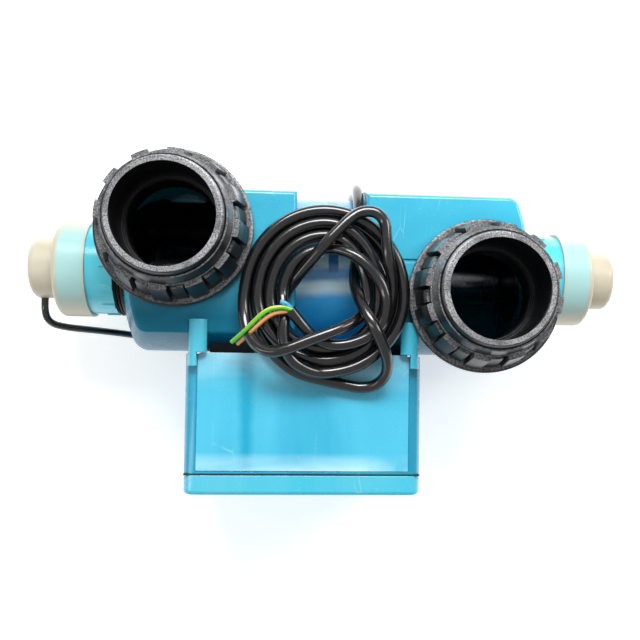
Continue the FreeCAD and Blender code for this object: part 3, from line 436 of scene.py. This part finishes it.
def core_looks():
    """Insulated cores: green and yellow halves, brown, and blue."""
    earth = Look("core_green_yellow", IOR=1.5, Coat_Weight=0.3)
    normal = earth.add("ShaderNodeNewGeometry").outputs["Normal"]
    halves = earth.ramp(earth.span(earth.axis("Y", normal), -1.0, 1.0),
                        (0.62, (0.10, 0.52, 0.02)), (0.74, (0.66, 0.74, 0.06)))
    earth.colour(earth.mix(earth.ramp(earth.noise(300.0), (0.4, 0.0), (0.8, 0.3)), halves,
                           (0.30, 0.55, 0.10)))
    live = Look("core_brown", IOR=1.5, Coat_Weight=0.3)
    live.colour(live.mix(live.noise(200.0), (0.58, 0.22, 0.07), (0.80, 0.38, 0.17)))
    neutral = Look("core_blue", IOR=1.5, Coat_Weight=0.3)
    neutral.colour(neutral.mix(neutral.noise(200.0), (0.04, 0.30, 0.62), (0.14, 0.50, 0.82)))
    for look in (earth, live, neutral):
        look.roughness(look.noise(260.0), 0.20, 0.36)
        look.relief((look.noise(500.0), 0.00004))
    return earth, live, neutral


def metal(name, dark, light, rough_low, rough_high, grain):
    look = Look(name, Metallic=1.0)
    look.colour(look.mix(look.noise(90.0, 4.0), dark, light))
    look.roughness(look.noise(200.0, 3.0, grain), rough_low, rough_high)
    look.relief((look.noise(500.0, 3.0, grain), 0.00005), edge=0.0002)
    return look


def inner_looks():
    metal("screw_steel", (0.42, 0.42, 0.43), (0.60, 0.60, 0.60), 0.25, 0.45, (1.0, 6.0, 1.0)).on(
        "saddle_screws", "lid_screws", "terminal_screws", "mounting_plate")
    metal("lamp_metal", (0.66, 0.66, 0.67), (0.80, 0.80, 0.80), 0.18, 0.35, (6.0, 1.0, 1.0)).on(
        "lamp_end_caps", "lamp_pins")
    metal("choke_iron", (0.10, 0.095, 0.09), (0.22, 0.21, 0.20), 0.45, 0.70,
          (1.0, 14.0, 1.0)).on("choke_core")
    plain = (
        ("choke_wire", (0.30, 0.09, 0.03), (0.46, 0.17, 0.06), 0.20, ["choke_winding"]),
        ("board_green", (0.02, 0.16, 0.06), (0.04, 0.24, 0.10), 0.30, ["ballast_board"]),
        ("capacitor_sleeve", (0.02, 0.02, 0.06), (0.05, 0.06, 0.12), 0.25, ["board_capacitors"]),
        ("pale_nylon", (0.62, 0.62, 0.58), (0.76, 0.76, 0.72), 0.45,
         ["board_standoffs", "terminal_block"]),
    )
    for name, dark, light, rough, names in plain:
        look = Look(name, IOR=1.5)
        look.colour(look.mix(look.noise(80.0, 4.0), dark, light))
        look.roughness(look.noise(150.0), rough, rough + 0.2)
        look.relief((look.noise(500.0), 0.00006), edge=0.0003)
        look.on(*names)


# ---------------------------------------------------------------- mains cable

LOW = 129.2
MID = 136.9
HANK_X = -4.0
HANK_Y = 19.0
TURN_STEPS = 4
WAYS = {"right": (1, 0), "bottom": (0, -1), "left": (-1, 0), "top": (0, 1)}

# The cable's own line in millimetres, from the strain relief round behind the
# chamber and up over it.
ROUTE = [
    (8.0, 17.5, 11.0), (8.2, 29.0, 9.0), (9.2, 42.5, 5.4), (11.2, 57.0, 4.8), (13.8, 71.0, 8.0),
    (16.0, 83.5, 17.0), (17.6, 93.5, 30.5), (18.4, 100.5, 46.0), (18.6, 103.0, 63.5),
    (18.6, 102.0, 81.0), (18.4, 96.5, 98.5), (18.6, 85.5, 111.0), (18.8, 74.5, 118.0),
    (18.6, 63.5, 121.9), (18.0, 52.5, 123.8), (16.2, 42.0, 125.8),
]
# Under the hank, up through its hole, over its side and round a small loop.
FIRST_LOOP = [
    (15.0, 32.0, 129.8), (15.2, 23.5, 136.5), (17.4, 15.5, 144.0), (21.0, 8.0, 150.2),
    (25.5, 0.0, 153.6), (30.0, -8.5, 153.2), (34.0, -17.0, 149.4), (36.8, -25.5, 142.0),
    (36.0, -33.5, 134.5), (30.0, -39.3, 129.2), (20.5, -41.0, 127.3), (10.0, -39.0, 127.8),
]
# Turns are given by side, reach from the hank's centre and height.
LOWER_TURNS = [
    ("bottom", 55.0, 128.6), ("left", 47.3, LOW), ("top", 51.5, 129.6), ("right", 49.2, 129.6),
    ("bottom", 46.8, LOW), ("left", 39.4, LOW), ("top", 43.0, 131.2), ("right", 41.2, 130.4),
    ("bottom", 38.6, LOW),
]
# From inside the lower turns, slanting up over all of them, and curling round.
SLANT = [
    (-16.0, -15.0, LOW), (-25.6, -8.0, LOW), (-32.2, 2.5, LOW), (-33.2, 12.5, LOW),
    (-29.2, 21.5, 129.2), (-22.1, 29.8, 135.6), (-13.8, 39.6, 143.8), (-5.0, 50.0, 148.2),
    (3.6, 59.2, 148.0), (10.6, 66.6, 147.6), (18.2, 71.8, 147.0), (27.6, 71.8, 147.0),
    (33.4, 65.4, 147.0), (34.0, 56.4, 147.0), (34.8, 47.4, 146.6), (36.8, 38.4, 144.8),
    (38.8, 29.4, 141.2),
]
UPPER_TURNS = [
    ("right", 43.4, 137.8), ("bottom", 43.2, MID), ("left", 44.0, MID), ("top", 47.2, 139.0),
    ("right", 35.8, 137.8), ("bottom", 35.2, MID), ("left", 36.0, MID), ("top", 38.8, 138.8),
    ("right", 27.8, 137.4),
]
# Across the bottom of the hank, on top, and out to its left edge.
SWEEP = [
    (22.4, 10.6, 138.4), (17.4, 3.4, 143.0), (9.6, -1.6, 148.6), (0.6, -5.6, 151.8),
    (-9.0, -9.4, 152.9), (-18.8, -13.4, 153.0), (-28.6, -17.4, 152.8), (-38.6, -19.4, 150.8),
    (-47.6, -14.6, 146.6), (-53.4, -5.2, 141.4), (-56.0, 6.0, 138.0),
]
OUTER_TURN = [("left", 52.2, MID), ("top", 55.4, 138.6), ("right", 52.4, 137.8),
              ("bottom", 51.0, MID)]
STEP_IN = [
    (-14.5, -30.2, 140.5), (-23.4, -25.4, 144.6), (-29.0, -17.0, 144.6), (-30.6, -7.0, 144.6),
    (-29.6, 3.5, 143.4), (-30.6, 12.0, 139.2),
]
INNER_TURN = [("left", 27.8, MID), ("top", 29.8, 138.6)]
CABLE_END = [
    (4.5, 47.6, 142.8), (12.5, 44.4, 146.4), (20.0, 39.4, 147.0), (27.0, 32.4, 147.0),
    (32.6, 24.0, 146.8), (35.4, 14.8, 146.6), (34.4, 5.6, 146.4), (30.4, -2.0, 146.0),
    (23.8, -8.2, 145.4), (15.0, -12.0, 145.0), (5.0, -14.0, 144.9), (-4.2, -13.0, 144.9),
    (-12.2, -8.2, 145.0), (-18.4, -1.4, 145.8), (-22.6, 3.6, 147.2), (-26.0, 7.8, 148.6),
]
EARTH_ROUTE = [
    (-25.2, 7.4, 149.4), (-28.4, 9.0, 151.0), (-33.0, 8.9, 152.0), (-38.2, 8.0, 152.4),
    (-43.2, 5.0, 151.8), (-49.2, -0.8, 150.0), (-55.4, -7.0, 146.0), (-62.8, -12.6, 138.4),
]
LIVE_ROUTE = [
    (-25.2, 6.4, 147.6), (-28.2, 6.6, 148.9), (-32.8, 6.2, 149.6), (-37.6, 4.6, 149.9),
    (-42.2, 1.4, 149.4), (-47.8, -3.8, 147.6), (-53.4, -8.9, 143.8), (-59.2, -13.6, 137.4),
]
NEUTRAL_ROUTE = [
    (-25.4, 8.6, 148.8), (-27.6, 10.6, 151.0), (-29.8, 11.9, 152.6), (-32.2, 12.4, 153.0),
]
CABLE_WIDE = 7.5
CORE_WIDE = 2.8


def turned(stations):
    """Points of turns whose four sides lie at their own reaches and heights."""
    points = []
    for (side, reach, height), (next_side, next_reach, next_height) in zip(stations, stations[1:]):
        for step in range(TURN_STEPS):
            angle = math.pi / 2 * step / TURN_STEPS
            near = reach * math.cos(angle)
            far = next_reach * math.sin(angle)
            rise = (1 - math.cos(2 * angle)) / 2
            points.append((
                HANK_X + WAYS[side][0] * near + WAYS[next_side][0] * far,
                HANK_Y + WAYS[side][1] * near + WAYS[next_side][1] * far,
                height + (next_height - height) * rise,
            ))
    side, reach, height = stations[-1]
    points.append((HANK_X + WAYS[side][0] * reach, HANK_Y + WAYS[side][1] * reach, height))
    return points


def round_cord(name, points, wide, look):
    """A smooth round cord along control points given in millimetres."""
    curve = bpy.data.curves.new(name, "CURVE")
    curve.dimensions = "3D"
    line = curve.splines.new("NURBS")
    line.points.add(len(points) - 1)
    for point, (x, y, z) in zip(line.points, points):
        point.co = (x * MM, y * MM, z * MM, 1.0)
    line.order_u = 3
    line.use_endpoint_u = True
    line.resolution_u = 8
    curve.bevel_depth = wide * MM / 2
    curve.bevel_resolution = 6
    curve.use_fill_caps = True
    curve.materials.append(look.material)
    cord = bpy.data.objects.new(name, curve)
    bpy.context.scene.collection.objects.link(cord)
    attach(cord, "body")
    return cord


def make_cable():
    """The mains cable as one curve with its three bared cores."""
    sheath = sheath_look()
    earth_look, live_look, neutral_look = core_looks()
    points = (ROUTE + FIRST_LOOP + turned(LOWER_TURNS) + SLANT + turned(UPPER_TURNS) + SWEEP
              + turned(OUTER_TURN) + STEP_IN + turned(INNER_TURN) + CABLE_END)
    cable = round_cord("mains_cable_line", points, CABLE_WIDE, sheath)
    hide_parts("mains_cable", "cable_coil")
    for name, route, look, slot in (
            ("earth", EARTH_ROUTE, earth_look, "core_yellow_green"),
            ("live", LIVE_ROUTE, live_look, "core_brown"),
            ("neutral", NEUTRAL_ROUTE, neutral_look, "core_blue")):
        core = round_cord(f"{name}_core_line", route, CORE_WIDE, look)
        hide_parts(f"core_{name}")


# ---------------------------------------------------------------- studio

CAMERA_PLACE = (-0.01978, -0.03495, 0.65091)
CAMERA_TURN = (0.0363, -0.0788, 0.0135)
WHITE = (1.0, 1.0, 1.0, 1.0)
SKY_STRENGTH = 0.46
FLOOR_REACH = 4.0
FLOOR_DROP = 0.0005
LIT_MIDDLE = (0.0, 0.02, 0.08)
# Each lamp's name, place, size and power in watts.
LAMPS = (
    ("overhead", (0.0, 0.80, 1.00), (0.9, 0.35), 14.5),
    ("window", (0.9, 0.45, 0.8), (0.3, 0.6), 4.0),
    ("strip", (-0.8, -0.2, 0.8), (0.12, 0.8), 1.5),
    ("flash", (0.05, 0.42, 0.72), (0.25, 0.12), 1.0),
)


def make_floor():
    """A pale, faintly glowing sheet just under the object."""
    mesh = bpy.data.meshes.new("floor")
    ways = ((-1, -1), (1, -1), (1, 1), (-1, 1))
    corners = [(across * FLOOR_REACH, along * FLOOR_REACH, 0) for across, along in ways]
    mesh.from_pydata(corners, [], [(0, 1, 2, 3)])
    floor = bpy.data.objects.new("floor", mesh)
    floor.location.z = -FLOOR_DROP
    bpy.context.scene.collection.objects.link(floor)
    look = Look("floor_paper", Emission_Color=WHITE, Emission_Strength=0.5)
    look.colour(look.mix(look.noise(3.0), (0.90, 0.90, 0.90), (0.93, 0.93, 0.93)))
    look.roughness(look.noise(20.0), 0.75, 0.9)
    floor.data.materials.append(look.material)


def soft_light(name, place, size, power):
    """A rectangular lamp aimed at the middle of the object."""
    lamp = bpy.data.lights.new(name, "AREA")
    lamp.shape = "RECTANGLE"
    lamp.size, lamp.size_y = size
    lamp.energy = power
    light = bpy.data.objects.new(name, lamp)
    light.location = place
    aim = Vector(LIT_MIDDLE) - Vector(place)
    light.rotation_euler = aim.to_track_quat("-Z", "Y").to_euler()
    bpy.context.scene.collection.objects.link(light)


def make_studio():
    make_floor()
    world = bpy.data.worlds.new("studio")
    world.use_nodes = True
    sky = world.node_tree.nodes["Background"]
    sky.inputs["Color"].default_value = WHITE
    sky.inputs["Strength"].default_value = SKY_STRENGTH
    bpy.context.scene.world = world
    bpy.context.scene.view_settings.view_transform = "Standard"
    for name, place, size, power in LAMPS:
        soft_light(name, place, size, power)


def make_camera():
    data = bpy.data.cameras.new("camera")
    data.sensor_width = 36.0
    data.lens = 45.0
    data.shift_x = -0.0662
    data.shift_y = 0.0453
    data.clip_start = 0.01
    data.dof.use_dof = False
    camera = bpy.data.objects.new("camera", data)
    camera.location = CAMERA_PLACE
    camera.rotation_euler = Euler(CAMERA_TURN, "XYZ")
    bpy.context.scene.collection.objects.link(camera)
    bpy.context.scene.camera = camera


def build():
    make_camera()
    make_cable()
    housing_look()
    box_look()
    collar_look()
    union_look()
    boot_look()
    lampholder_look()
    glass_look()
    label_look()
    pipe_look()
    rubber_look()
    inner_looks()
    make_studio()


build()
